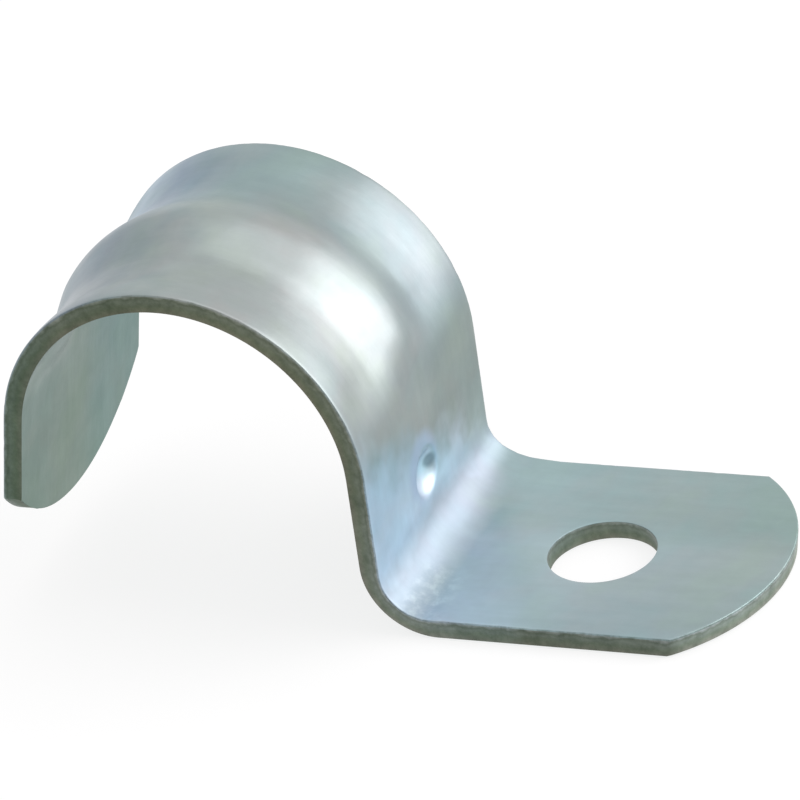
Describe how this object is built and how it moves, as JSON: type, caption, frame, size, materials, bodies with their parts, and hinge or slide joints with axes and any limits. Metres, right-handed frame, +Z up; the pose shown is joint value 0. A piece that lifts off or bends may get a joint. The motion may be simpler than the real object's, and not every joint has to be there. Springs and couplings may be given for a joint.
{
  "type": "conduit strap",
  "caption": "One-hole strap of bent zinc-plated steel sheet: a ribbed saddle holds a conduit against a wall, a flat flange takes the screw.",
  "frame": {"origin": "centre of the screw hole on the flange's underside, which meets the wall", "axes": "+Z up out of the wall along the screw hole, +X along the flange away from the saddle (longest extent), +Y across the strip along the conduit (shortest extent)"},
  "size_m": [0.0503, 0.0191, 0.0247],
  "materials": {
    "plated_steel": "zinc plated, clear blue passivate, satin"
  },
  "bodies": {
    "root": {"strap": "plated_steel"}
  },
  "joints": []
}
